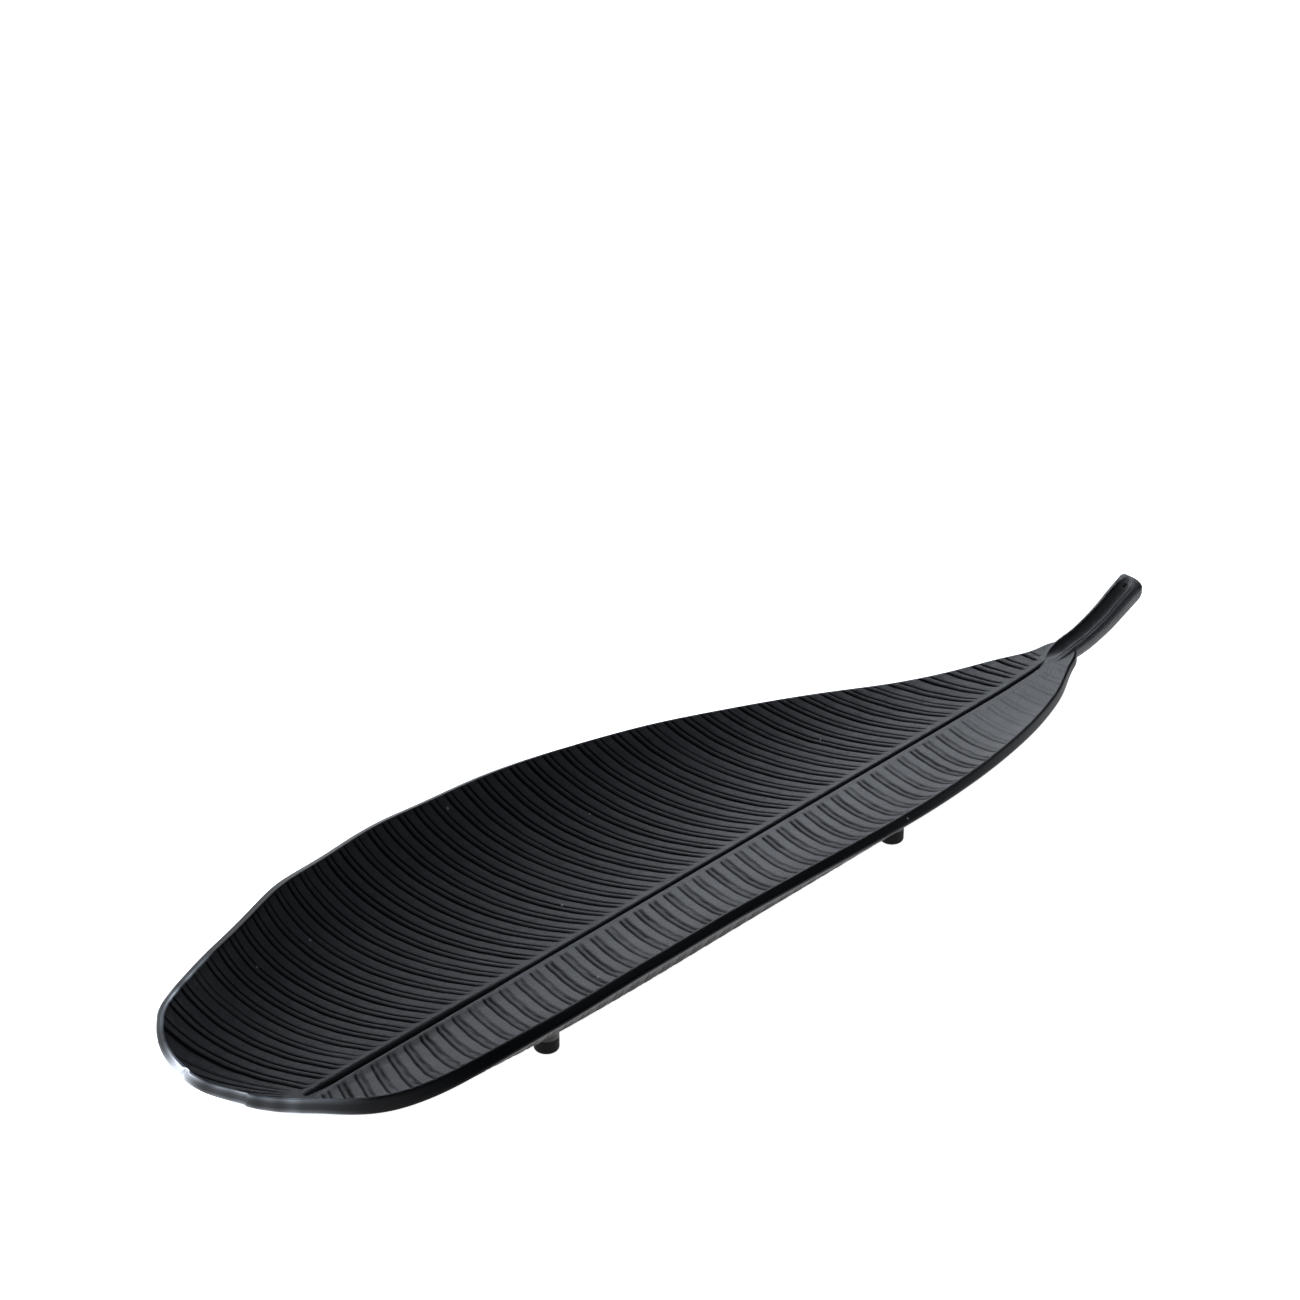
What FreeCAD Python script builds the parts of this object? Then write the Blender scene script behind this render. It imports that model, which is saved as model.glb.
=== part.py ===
import FreeCAD, Part
import math
import os
import Sketcher

doc = FreeCAD.newDocument("leafTray")

# ---- sizes (mm) -----------------------------------------------------------
sheet = doc.addObject("Spreadsheet::Sheet", "Sizes")
sizes = [
    ("bladeLength", 600.0, "scale of the leaf along its midrib"),
    ("halfWidth", 93.0, "midrib to rim at the widest place, in plan"),
    ("troughRatio", 1.14, "inner trough radius over half width"),
    ("wall", 6.5, "casting thickness"),
    ("baseRise", 7.5, "lift of the blade floor where the stem begins"),
    ("grooveDepth", 1.8, "midrib groove"),
    ("grooveHalf", 2.3, "half width of the midrib groove at the floor"),
    ("stemTop", 29.0, "lip height of the stem at its free end"),
    ("stemHalf", 8.0, "half width of the stem"),
    ("stemDepth", 14.5, "upright depth of the stem"),
    ("channelRadius", 5.0, "channel along the stem"),
    ("channelDepth", 3.0, "channel floor below the lips"),
    ("hangRadius", 1.7, "hanging hole through the stem"),
    ("hangLean", 36.0, "lean of the hanging hole, degrees"),
    ("footRadius", 6.8, "rubber foot and its cast boss"),
    ("footHeight", 8.0, "rubber foot, boss to table"),
    ("footRound", 1.6, "rounding round the foot's lower edge"),
    ("clearUnder", 13.0, "blade floor to table"),
    ("tipFootX", 168.0, "tip feet from the middle of the blade"),
    ("tipFootY", 45.0, "tip feet from the midrib"),
    ("stemFootX", 102.0, "stem feet from the middle of the blade"),
    ("stemFootY", 44.0, "stem feet from the midrib"),
    ("screwRadius", 1.95, "screw shank"),
    ("screwFit", 0.05, "radial play of the shank in its boss"),
    ("screwGrip", 7.0, "shank length inside the boss"),
    ("headRadius", 3.5, "pan head"),
    ("headHeight", 2.4, "pan head"),
    ("slotWidth", 1.0, "driver slot"),
    ("washerRadius", 4.0, "washer"),
    ("washerThick", 0.8, "washer"),
    ("headClear", 1.0, "screw head to table"),
    ("looseFit", 0.25, "radial play of washer and rubber"),
    ("frameX", 0.0, "plan centre of the whole object"),
    ("frameY", 0.0, "plan centre of the whole object"),
]
for row, (alias, value, note) in enumerate(sizes, start=1):
    sheet.set("A%d" % row, alias)
    sheet.set("B%d" % row, "%g" % value)
    sheet.set("C%d" % row, note)
    sheet.setAlias("B%d" % row, alias)
doc.recompute()


def measure(text):
    """Value of a size expression as the sheet stands."""
    return float(sheet.evalExpression(text))


trough = "Sizes.halfWidth * Sizes.troughRatio"

# Stations along the blade: place, trough radius factor, floor lift factor, wall factor.
# The trough closes in toward the tip, where the casting is thicker, and lifts into the
# stem at the other end.
stations = [
    (-0.575, 0.726, 0.0, 1.55),
    (-0.483, 0.745, 0.0, 1.50),
    (-0.400, 0.849, 0.0, 1.22),
    (-0.317, 0.962, 0.0, 1.05),
    (-0.233, 1.000, 0.0, 1.0),
    (-0.120, 1.000, 0.0, 1.0),
    (0.100, 1.000, 0.0, 1.0),
    (0.333, 1.000, 0.0, 1.0),
    (0.425, 1.000, 0.067, 1.0),
    (0.475, 1.000, 0.333, 1.0),
    (0.525, 1.000, 1.0, 1.0),
]

# Rim outline in plan, as parts of the blade length and of the half width:
# round the left half from the midrib's end to the stem, then back on the right.
outline = [
    (-0.4950, 0.000),
    (-0.5182, 0.153),
    (-0.5353, 0.286),
    (-0.5508, 0.410),
    (-0.5588, 0.530),
    (-0.5598, 0.630),
    (-0.5525, 0.696),
    (-0.5325, 0.741),
    (-0.4700, 0.804),
    (-0.4133, 0.882),
    (-0.3617, 0.944),
    (-0.2833, 0.997),
    (-0.2117, 1.000),
    (-0.1400, 0.986),
    (-0.0683, 0.957),
    (0.0020, 0.914),
    (0.0725, 0.857),
    (0.1417, 0.780),
    (0.2100, 0.688),
    (0.2767, 0.575),
    (0.3400, 0.446),
    (0.4067, 0.323),
    (0.4533, 0.231),
    (0.4867, 0.140),
    (0.5100, 0.075),
    (0.5100, -0.081),
    (0.4900, -0.151),
    (0.4567, -0.258),
    (0.4233, -0.349),
    (0.3833, -0.441),
    (0.3400, -0.527),
    (0.2767, -0.634),
    (0.2100, -0.731),
    (0.1417, -0.817),
    (0.0725, -0.887),
    (0.0020, -0.941),
    (-0.0683, -0.973),
    (-0.1400, -0.995),
    (-0.2117, -1.000),
    (-0.2750, -0.978),
    (-0.3283, -0.914),
    (-0.3733, -0.817),
    (-0.4067, -0.699),
    (-0.4317, -0.559),
    (-0.4517, -0.409),
    (-0.4683, -0.237),
    (-0.4817, -0.097),
]

# Stem sections: place along the blade scale, then lip height, half width and
# depth as parts of the stem's own sizes.
stemStations = [
    (0.4700, 0.034, 0.81, 0.45),
    (0.5050, 0.241, 0.94, 0.79),
    (0.5333, 0.331, 0.95, 0.90),
    (0.5633, 0.528, 0.98, 1.00),
    (0.5867, 0.759, 1.02, 1.07),
    (0.6133, 1.000, 1.07, 1.07),
]

# Feet: name, side along the blade, side across it, and their two sizes.
feet = [
    ("tip_left", -1, 1, "tipFootX", "tipFootY"),
    ("tip_right", -1, -1, "tipFootX", "tipFootY"),
    ("stem_left", 1, 1, "stemFootX", "stemFootY"),
    ("stem_right", 1, -1, "stemFootX", "stemFootY"),
]


# ---- helpers --------------------------------------------------------------
def point(x, y):
    return FreeCAD.Vector(x, y, 0)


def sketchOn(body, role, name, offset=None):
    sk = body.newObject("Sketcher::SketchObject", name)
    plane = [f for f in body.Origin.OriginFeatures if f.Role == role][0]
    sk.AttachmentSupport = [(plane, "")]
    sk.MapMode = "FlatFace"
    if offset:
        sk.setExpression("AttachmentOffset.Base.z", offset)
    sk.Visibility = False
    return sk


def tie(sk, name, kind, refs, text):
    """Driving constraint that follows a size expression."""
    index = sk.addConstraint(Sketcher.Constraint(kind, *refs, measure(text)))
    sk.renameConstraint(index, name)
    sk.setExpression("Constraints." + name, text)


def pin(sk, kind, *refs):
    sk.addConstraint(Sketcher.Constraint(kind, *refs))


def line(sk, start, end):
    sk.addGeometry(Part.LineSegment(start, end), False)


def closeUp(sk, count):
    for i in range(count):
        pin(sk, "Coincident", i, 2, (i + 1) % count, 1)


def loftThrough(body, kind, name, sketches):
    loft = body.newObject("PartDesign::" + kind, name)
    loft.Profile = sketches[0]
    loft.Sections = sketches[1:]


def alongBlade(place):
    return "Sizes.bladeLength * %g" % place


# ---- blade blank: trough shell with foot bosses and midrib groove -----------
blank = doc.addObject("PartDesign::Body", "bladeBlank")


def segmentSketch(name, station, thickness, reach):
    """Circular segment: arc below, level chord above."""
    place, factor, lift, wallFactor = station
    sk = sketchOn(blank, "YZ_Plane", name, alongBlade(place))
    radiusText = "%s * %g + %s * %g" % (trough, factor, thickness, wallFactor)
    centreText = "%s * %g + Sizes.baseRise * %g" % (trough, factor, lift)
    chordText = "%s - (%s) * cos(%g)" % (centreText, radiusText, reach)
    radius = measure(radiusText)
    centre = measure(centreText)
    half = math.radians(reach)
    circle = Part.Circle(point(0, centre), FreeCAD.Vector(0, 0, 1), radius)
    sk.addGeometry(Part.ArcOfCircle(circle, 1.5 * math.pi - half, 1.5 * math.pi + half), False)
    side = radius * math.sin(half)
    line(sk, point(side, measure(chordText)), point(-side, measure(chordText)))
    closeUp(sk, 2)
    pin(sk, "PointOnObject", 0, 3, -2)
    pin(sk, "Horizontal", 1)
    tie(sk, "arcRadius", "Radius", (0,), radiusText)
    tie(sk, "centreHeight", "DistanceY", (-1, 1, 0, 3), centreText)
    tie(sk, "chordHeight", "DistanceY", (-1, 1, 1, 2), chordText)
    return sk


def grooveSketch(name, station):
    """V with its point below the blade floor and its mouth as far above it."""
    place, lift = station[0], station[2]
    sk = sketchOn(blank, "YZ_Plane", name, alongBlade(place))
    floor = measure("Sizes.baseRise * %g" % lift)
    depth = measure("Sizes.grooveDepth")
    half = measure("Sizes.grooveHalf * 2")
    line(sk, point(-half, floor + depth), point(0, floor - depth))
    line(sk, point(0, floor - depth), point(half, floor + depth))
    line(sk, point(half, floor + depth), point(-half, floor + depth))
    closeUp(sk, 3)
    pin(sk, "PointOnObject", 0, 2, -2)
    pin(sk, "Horizontal", 2)
    tie(sk, "mouth", "DistanceX", (0, 1, 1, 2), "Sizes.grooveHalf * 4")
    tie(sk, "leftHalf", "DistanceX", (0, 1, -1, 1), "Sizes.grooveHalf * 2")
    tie(sk, "fall", "DistanceY", (0, 2, 0, 1), "Sizes.grooveDepth * 2")
    heightText = "Sizes.baseRise * %g + Sizes.grooveDepth" % lift
    tie(sk, "mouthHeight", "DistanceY", (-1, 1, 0, 1), heightText)
    return sk


outerArcs = [segmentSketch("outerArc%d" % i, s, "Sizes.wall", 78) for i, s in enumerate(stations)]
loftThrough(blank, "AdditiveLoft", "outerLoft", outerArcs)

bossSketch = sketchOn(blank, "XY_Plane", "bossSketch", "Sizes.footHeight - Sizes.clearUnder")
for i, (spot, sideX, sideY, aliasX, aliasY) in enumerate(feet):
    centre = point(sideX * measure("Sizes." + aliasX), sideY * measure("Sizes." + aliasY))
    circle = Part.Circle(centre, FreeCAD.Vector(0, 0, 1), measure("Sizes.footRadius"))
    bossSketch.addGeometry(circle, False)
    tie(bossSketch, spot + "Radius", "Radius", (i,), "Sizes.footRadius")
    refs = (-1, 1, i, 3) if sideX > 0 else (i, 3, -1, 1)
    tie(bossSketch, spot + "Along", "DistanceX", refs, "Sizes." + aliasX)
    refs = (-1, 1, i, 3) if sideY > 0 else (i, 3, -1, 1)
    tie(bossSketch, spot + "Across", "DistanceY", refs, "Sizes." + aliasY)
bosses = blank.newObject("PartDesign::Pad", "bosses")
bosses.Profile = bossSketch
bosses.setExpression("Length", "Sizes.clearUnder - Sizes.footHeight + Sizes.wall * 2.5")

innerArcs = [segmentSketch("innerArc%d" % i, s, "0", 84) for i, s in enumerate(stations)]
loftThrough(blank, "SubtractiveLoft", "innerLoft", innerArcs)

grooveVees = [grooveSketch("midribVee%d" % i, s) for i, s in enumerate(stations)]
loftThrough(blank, "SubtractiveLoft", "midribGroove", grooveVees)
doc.recompute()


# ---- rim cutter: a closed curtain standing square to the blade all round ----
def eased(xs, ys, x):
    """Smooth curve through the stations, with the mean slope of its neighbours at each."""
    last = len(xs) - 1
    x = min(max(x, xs[0]), xs[last])
    i = min(sum(1 for place in xs[1:last] if place <= x), last - 1)
    step = [(ys[k + 1] - ys[k]) / (xs[k + 1] - xs[k]) for k in range(last)]
    lean = [step[0]] + [0.5 * (step[k - 1] + step[k]) for k in range(1, last)] + [step[-1]]
    run = xs[i + 1] - xs[i]
    u = (x - xs[i]) / run
    straight = ys[i] * (2 * u**3 - 3 * u**2 + 1) + ys[i + 1] * (3 * u**2 - 2 * u**3)
    return straight + run * (lean[i] * (u**3 - 2 * u**2 + u) + lean[i + 1] * (u**3 - u**2))


places = [s[0] for s in stations]
radiusFactors = [s[1] for s in stations]
liftFactors = [s[2] for s in stations]


def rimRing(inward, level=None):
    """Rim curve moved along the blade's own normal, or laid flat at a level."""
    points = []
    for partX, partY in outline:
        radius = measure(trough) * eased(places, radiusFactors, partX)
        floor = measure("Sizes.baseRise") * eased(places, liftFactors, partX)
        angle = math.asin(partY * measure("Sizes.halfWidth") / radius)
        reach = radius - inward
        z = floor + radius - reach * math.cos(angle) if level is None else level
        x = partX * measure("Sizes.bladeLength")
        points.append(FreeCAD.Vector(x, reach * math.sin(angle), z))
    curve = Part.BSplineCurve()
    knots = [float(k) for k in range(len(points) + 1)]
    curve.interpolate(Points=points, PeriodicFlag=True, Parameters=knots)
    return Part.Wire([curve.toShape()])


spare = 3.0
outward = -measure("Sizes.wall") * max(s[3] for s in stations) - spare
rings = [
    rimRing(spare, measure("Sizes.halfWidth * 1.1")),
    rimRing(spare),
    rimRing(outward),
    rimRing(outward, -measure("Sizes.clearUnder * 3")),
]
rimCutter = doc.addObject("Part::Feature", "rimCutter")
rimCutter.Shape = Part.makeLoft(rings, True, True)

blade = doc.addObject("Part::MultiCommon", "blade")
blade.Shapes = [blank, rimCutter]
doc.recompute()

# ---- stem and the channel along it ------------------------------------------
stem = doc.addObject("PartDesign::Body", "stem")
channel = doc.addObject("PartDesign::Body", "channel")


def stemSketch(name, section):
    """U section: level lips, upright sides, half-round bottom."""
    place, top, wide, deep = section
    sk = sketchOn(stem, "YZ_Plane", name, alongBlade(place))
    halfText = "Sizes.stemHalf * %g" % wide
    lipText = "Sizes.stemTop * %g" % top
    sideText = "max(Sizes.stemDepth * %g - Sizes.stemHalf * %g; 0.2)" % (deep, wide)
    half = measure(halfText)
    lip = measure(lipText)
    turn = lip - measure(sideText)
    line(sk, point(-half, lip), point(-half, turn))
    circle = Part.Circle(point(0, turn), FreeCAD.Vector(0, 0, 1), half)
    sk.addGeometry(Part.ArcOfCircle(circle, math.pi, 2 * math.pi), False)
    line(sk, point(half, turn), point(half, lip))
    line(sk, point(half, lip), point(-half, lip))
    pin(sk, "Tangent", 0, 2, 1, 1)
    pin(sk, "Tangent", 1, 2, 2, 1)
    pin(sk, "Coincident", 2, 2, 3, 1)
    pin(sk, "Coincident", 3, 2, 0, 1)
    pin(sk, "Vertical", 0)
    pin(sk, "Horizontal", 3)
    pin(sk, "PointOnObject", 1, 3, -2)
    tie(sk, "bottomRadius", "Radius", (1,), halfText)
    tie(sk, "lipHeight", "DistanceY", (-1, 1, 0, 1), lipText)
    tie(sk, "side", "DistanceY", (0, 2, 0, 1), sideText)
    return sk


def channelSketch(name, place, floorText):
    """Round section whose lowest point is the channel floor."""
    sk = sketchOn(channel, "YZ_Plane", name, alongBlade(place))
    heightText = floorText + " + Sizes.channelRadius"
    centre = point(measure("Sizes.stemHalf * 0.125"), measure(heightText))
    circle = Part.Circle(centre, FreeCAD.Vector(0, 0, 1), measure("Sizes.channelRadius"))
    sk.addGeometry(circle, False)
    tie(sk, "bore", "Radius", (0,), "Sizes.channelRadius")
    tie(sk, "aside", "DistanceX", (-1, 1, 0, 3), "Sizes.stemHalf * 0.125")
    tie(sk, "height", "DistanceY", (-1, 1, 0, 3), heightText)
    return sk


stemSections = [stemSketch("stemSection%d" % i, s) for i, s in enumerate(stemStations)]
loftThrough(stem, "AdditiveLoft", "stemLoft", stemSections)

# Channel sections above the stem's: place, lip height and share of the full depth.
# The channel runs out to the surface just short of the stem's end.
channelStations = [(s[0], s[1], 1.0) for s in stemStations[1:-1]]
channelStations += [(0.6000, 0.876, 0.95), (0.6100, 0.970, 0.55), (0.6200, 1.062, -0.4)]
channelSections = [
    channelSketch("channelStart", 0.4700, "Sizes.baseRise * 0.4 + Sizes.channelDepth * 0.1")
]
for i, (place, top, share) in enumerate(channelStations):
    floorText = "Sizes.stemTop * %g - Sizes.channelDepth * %g" % (top, share)
    channelSections.append(channelSketch("channelSection%d" % i, place, floorText))
loftThrough(channel, "AdditiveLoft", "channelLoft", channelSections)
doc.recompute()


# ---- holes, and the finished casting ----------------------------------------
def rod(name, radiusText, heightText, spotTexts):
    obj = doc.addObject("Part::Cylinder", name)
    obj.setExpression("Radius", radiusText)
    obj.setExpression("Height", heightText)
    for axis, text in zip("xyz", spotTexts):
        obj.setExpression("Placement.Base." + axis, text)
    return obj


def footSpot(foot, height):
    spot, sideX, sideY, aliasX, aliasY = foot
    return ("Sizes.%s * %d" % (aliasX, sideX), "Sizes.%s * %d" % (aliasY, sideY), height)


bossFace = "Sizes.footHeight - Sizes.clearUnder"
cutters = [channel]
for foot in feet:
    radiusText = "Sizes.screwRadius + Sizes.screwFit"
    spotTexts = footSpot(foot, bossFace + " - 1")
    cutters.append(rod(foot[0] + "Hole", radiusText, "Sizes.screwGrip + 2", spotTexts))
hangSpot = (
    "Sizes.bladeLength * 0.6055 + Sizes.stemDepth * sin(Sizes.hangLean)",
    "Sizes.stemHalf * 0.125",
    "Sizes.stemTop * 0.84 - Sizes.stemDepth * 1.4 * cos(Sizes.hangLean)",
)
hangHole = rod("hangHole", "Sizes.hangRadius", "Sizes.stemDepth * 3", hangSpot)
leanAxis = FreeCAD.Vector(0, -1, 0)
hangHole.Placement.Rotation = FreeCAD.Rotation(leanAxis, measure("Sizes.hangLean"))
cutters.append(hangHole)

solidTray = doc.addObject("Part::MultiFuse", "solidTray")
solidTray.Shapes = [blade, stem]
cuts = doc.addObject("Part::MultiFuse", "cuts")
cuts.Shapes = cutters
tray = doc.addObject("Part::Cut", "leaf_tray")
tray.Base = solidTray
tray.Tool = cuts
doc.recompute()


# ---- turned pieces: feet, washers, screws -----------------------------------
def turned(name, corners):
    """Body of revolution about the upright axis from (radius, height) expressions."""
    body = doc.addObject("PartDesign::Body", name)
    sk = sketchOn(body, "XZ_Plane", name + "Profile")
    dots = [point(measure(r), measure(z)) for r, z in corners]
    count = len(corners)
    for i in range(count):
        line(sk, dots[i], dots[(i + 1) % count])
    closeUp(sk, count)
    for i, (radiusText, heightText) in enumerate(corners):
        if radiusText == "0":
            pin(sk, "PointOnObject", i, 1, -2)
        else:
            tie(sk, "radius%s" % "abcdefghij"[i], "DistanceX", (-1, 1, i, 1), radiusText)
        if heightText == "0":
            pin(sk, "PointOnObject", i, 1, -1)
        elif dots[i].y > 0:
            tie(sk, "height%s" % "abcdefghij"[i], "DistanceY", (-1, 1, i, 1), heightText)
        else:
            text = "-(%s)" % heightText
            tie(sk, "height%s" % "abcdefghij"[i], "DistanceY", (i, 1, -1, 1), text)
    turn = body.newObject("PartDesign::Revolution", name + "Turn")
    turn.Profile = sk
    turn.ReferenceAxis = (sk, ["V_Axis"])
    turn.Angle = 360
    return body


def edgesAt(shape, height, radius):
    """Names of the round edges at one height with one radius."""
    found = []
    for i, edge in enumerate(shape.Edges, start=1):
        if hasattr(edge.Curve, "Radius") and abs(edge.Curve.Radius - radius) < 1e-4:
            if abs(edge.CenterOfMass.z - height) < 1e-4:
                found.append("Edge%d" % i)
    return found


def rounded(body, height, radiusText, sizeText):
    tip = body.Tip
    fillet = body.newObject("PartDesign::Fillet", body.Name + "Round")
    fillet.Base = (tip, edgesAt(tip.Shape, height, measure(radiusText)))
    fillet.setExpression("Radius", sizeText)


# Heights are taken from the table up.
headLow = "Sizes.headClear"
washerLow = headLow + " + Sizes.headHeight"
wellTop = washerLow + " + Sizes.washerThick"
webBore = "Sizes.screwRadius + Sizes.looseFit"
well = "Sizes.washerRadius + Sizes.looseFit"
shankTop = "Sizes.footHeight + Sizes.screwGrip - 0.6"

pieces = [tray]
for foot in feet:
    rubber = turned(
        foot[0] + "_foot",
        [
            (well, "0"),
            ("Sizes.footRadius", "0"),
            ("Sizes.footRadius", "Sizes.footHeight"),
            (webBore, "Sizes.footHeight"),
            (webBore, wellTop),
            (well, wellTop),
        ],
    )
    washer = turned(
        foot[0] + "_washer",
        [
            (webBore, washerLow),
            ("Sizes.washerRadius", washerLow),
            ("Sizes.washerRadius", wellTop),
            (webBore, wellTop),
        ],
    )
    screw = turned(
        foot[0] + "_screw",
        [
            ("0", headLow),
            ("Sizes.headRadius", headLow),
            ("Sizes.headRadius", washerLow),
            ("Sizes.screwRadius", washerLow),
            ("Sizes.screwRadius", shankTop),
            ("0", shankTop),
        ],
    )
    doc.recompute()
    rounded(rubber, 0.0, "Sizes.footRadius", "Sizes.footRound")
    rounded(screw, measure(headLow), "Sizes.headRadius", "Sizes.headHeight * 0.5")
    slot = sketchOn(screw, "XY_Plane", foot[0] + "SlotSketch", headLow)
    halfWide = measure("Sizes.slotWidth / 2")
    halfLong = measure("Sizes.headRadius * 1.2")
    line(slot, point(-halfLong, -halfWide), point(halfLong, -halfWide))
    line(slot, point(halfLong, -halfWide), point(halfLong, halfWide))
    line(slot, point(halfLong, halfWide), point(-halfLong, halfWide))
    line(slot, point(-halfLong, halfWide), point(-halfLong, -halfWide))
    closeUp(slot, 4)
    pin(slot, "Horizontal", 0)
    pin(slot, "Horizontal", 2)
    pin(slot, "Vertical", 1)
    pin(slot, "Symmetric", 0, 1, 2, 1, -1, 1)
    tie(slot, "long", "DistanceX", (0, 1, 0, 2), "Sizes.headRadius * 2.4")
    tie(slot, "wide", "DistanceY", (1, 1, 1, 2), "Sizes.slotWidth")
    cut = screw.newObject("PartDesign::Pocket", foot[0] + "Slot")
    cut.Profile = slot
    cut.Reversed = True
    cut.setExpression("Length", "Sizes.headHeight * 0.45")
    for body in (rubber, washer, screw):
        spotTexts = footSpot(foot, "0")
        body.setExpression("Placement.Base.x", spotTexts[0] + " - Sizes.frameX")
        body.setExpression("Placement.Base.y", spotTexts[1] + " - Sizes.frameY")
        pieces.append(body)
doc.recompute()

# ---- shared frame: plan centre and table plane ------------------------------
box = tray.Shape.optimalBoundingBox(True, False)
sheet.set("B%d" % (len(sizes) - 1), "%g" % round(0.5 * (box.XMin + box.XMax), 3))
sheet.set("B%d" % len(sizes), "%g" % round(0.5 * (box.YMin + box.YMax), 3))
tray.setExpression("Placement.Base.x", "-Sizes.frameX")
tray.setExpression("Placement.Base.y", "-Sizes.frameY")
tray.setExpression("Placement.Base.z", "Sizes.clearUnder")
doc.recompute()

# ---- checks and output ------------------------------------------------------
for obj in doc.Objects:
    if "Invalid" in obj.State or "Error" in obj.State:
        raise RuntimeError("%s did not build: %s" % (obj.Name, obj.State))
os.makedirs("parts", exist_ok=True)
for piece in pieces:
    piece.Label = piece.Name
    shape = piece.Shape
    if shape.isNull() or not shape.isValid() or len(shape.Solids) != 1:
        raise RuntimeError("%s is not one valid solid" % piece.Name)
    shape.exportStep("parts/%s.step" % piece.Name)
    size = shape.optimalBoundingBox(True, False)
    spans = (size.XMin, size.XMax, size.YMin, size.YMax, size.ZMin, size.ZMax)
    print(piece.Name, round(shape.Volume, 1), [round(v, 2) for v in spans])
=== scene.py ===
import math

import bmesh
import bpy
import numpy as np
from mathutils import Matrix, Vector


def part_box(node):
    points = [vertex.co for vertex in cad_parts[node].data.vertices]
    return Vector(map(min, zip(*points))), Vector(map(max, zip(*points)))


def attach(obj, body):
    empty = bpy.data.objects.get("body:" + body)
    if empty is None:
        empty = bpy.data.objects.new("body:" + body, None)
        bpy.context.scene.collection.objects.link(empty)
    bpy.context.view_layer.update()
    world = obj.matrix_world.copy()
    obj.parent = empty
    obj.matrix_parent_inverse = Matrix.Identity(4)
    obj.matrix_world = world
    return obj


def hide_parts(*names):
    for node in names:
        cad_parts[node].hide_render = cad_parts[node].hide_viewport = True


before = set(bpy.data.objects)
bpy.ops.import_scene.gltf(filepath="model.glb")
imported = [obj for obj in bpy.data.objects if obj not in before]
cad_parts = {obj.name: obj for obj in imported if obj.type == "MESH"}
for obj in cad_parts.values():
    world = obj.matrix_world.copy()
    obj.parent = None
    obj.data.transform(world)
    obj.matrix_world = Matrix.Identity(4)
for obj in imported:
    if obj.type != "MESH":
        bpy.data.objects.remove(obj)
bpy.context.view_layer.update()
print("frame loaded:", len(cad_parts), "nodes")

# The leaf is worked out in millimetres on its own axes: x along the midrib, y across to
# the left half, z up from the middle of the trough floor.
leaf = {
    "length": 600.0,
    "halfWidth": 93.0,
    "troughRadius": 106.02,
    "wall": 6.5,
    "baseRise": 7.5,
    "floorHeight": 13.0,
    "sideways": 0.108,
    "stemEnd": 0.6133,
}
stemEndX = leaf["stemEnd"] * leaf["length"]
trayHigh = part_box("leaf_tray")[1]
leafOrigin = np.array([stemEndX - 1000 * trayHigh[0], leaf["sideways"], -leaf["floorHeight"]])


# From leaf millimetres to metres in the shared frame: take away the origin, divide by 1000.
def inFrame(points):
    return (points - leafOrigin) / 1000


# Trough along the midrib: place as part of the length, radius, floor lift and wall factors.
stations = np.array([
    (-0.575, 0.726, 0.0, 1.55), (-0.483, 0.745, 0.0, 1.50), (-0.400, 0.849, 0.0, 1.22),
    (-0.317, 0.962, 0.0, 1.05), (-0.233, 1.0, 0.0, 1.0), (-0.120, 1.0, 0.0, 1.0),
    (0.100, 1.0, 0.0, 1.0), (0.333, 1.0, 0.0, 1.0), (0.425, 1.0, 0.067, 1.0),
    (0.475, 1.0, 0.333, 1.0), (0.525, 1.0, 1.0, 1.0),
])
# Rim in plan, as parts of the length and of the half width, round from the midrib's end.
outline = np.array([
    (-0.4950, 0.000), (-0.5182, 0.153), (-0.5353, 0.286), (-0.5508, 0.410), (-0.5588, 0.530),
    (-0.5598, 0.630), (-0.5525, 0.696), (-0.5325, 0.741), (-0.4700, 0.804), (-0.4133, 0.882),
    (-0.3617, 0.944), (-0.2833, 0.997),
    (-0.2117, 1.000), (-0.1400, 0.986), (-0.0683, 0.957), (0.0020, 0.914), (0.0725, 0.857),
    (0.1417, 0.780), (0.2100, 0.688), (0.2767, 0.575), (0.3400, 0.446), (0.4067, 0.323),
    (0.4533, 0.231), (0.4867, 0.140), (0.5100, 0.075), (0.5100, -0.081), (0.4900, -0.151),
    (0.4567, -0.258), (0.4233, -0.349), (0.3833, -0.441), (0.3400, -0.527), (0.2767, -0.634),
    (0.2100, -0.731), (0.1417, -0.817), (0.0725, -0.887), (0.0020, -0.941), (-0.0683, -0.973),
    (-0.1400, -0.995), (-0.2117, -1.000), (-0.2750, -0.978), (-0.3283, -0.914),
    (-0.3733, -0.817), (-0.4067, -0.699), (-0.4317, -0.559), (-0.4517, -0.409),
    (-0.4683, -0.237), (-0.4817, -0.097),
])


# Value at x between stations: a cubic through the station values, its slope at each station
# the mean of the two straight slopes beside it.
def eased(places, values, x):
    x = np.clip(x, places[0], places[-1])
    step = np.diff(values) / np.diff(places)
    lean = np.concatenate([step[:1], 0.5 * (step[1:] + step[:-1]), step[-1:]])
    i = np.clip(np.searchsorted(places, x, side="right") - 1, 0, len(places) - 2)
    run = places[i + 1] - places[i]
    u = (x - places[i]) / run
    straight = values[i] * (2 * u**3 - 3 * u**2 + 1) + values[i + 1] * (3 * u**2 - 2 * u**3)
    return straight + run * (lean[i] * (u**3 - 2 * u**2 + u) + lean[i + 1] * (u**3 - u**2))


# Inner radius of the trough at x.
def troughRadius(x):
    return leaf["troughRadius"] * eased(stations[:, 0], stations[:, 1], x / leaf["length"])


# Height of the trough floor at x above its middle.
def floorLift(x):
    return leaf["baseRise"] * eased(stations[:, 0], stations[:, 2], x / leaf["length"])


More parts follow.
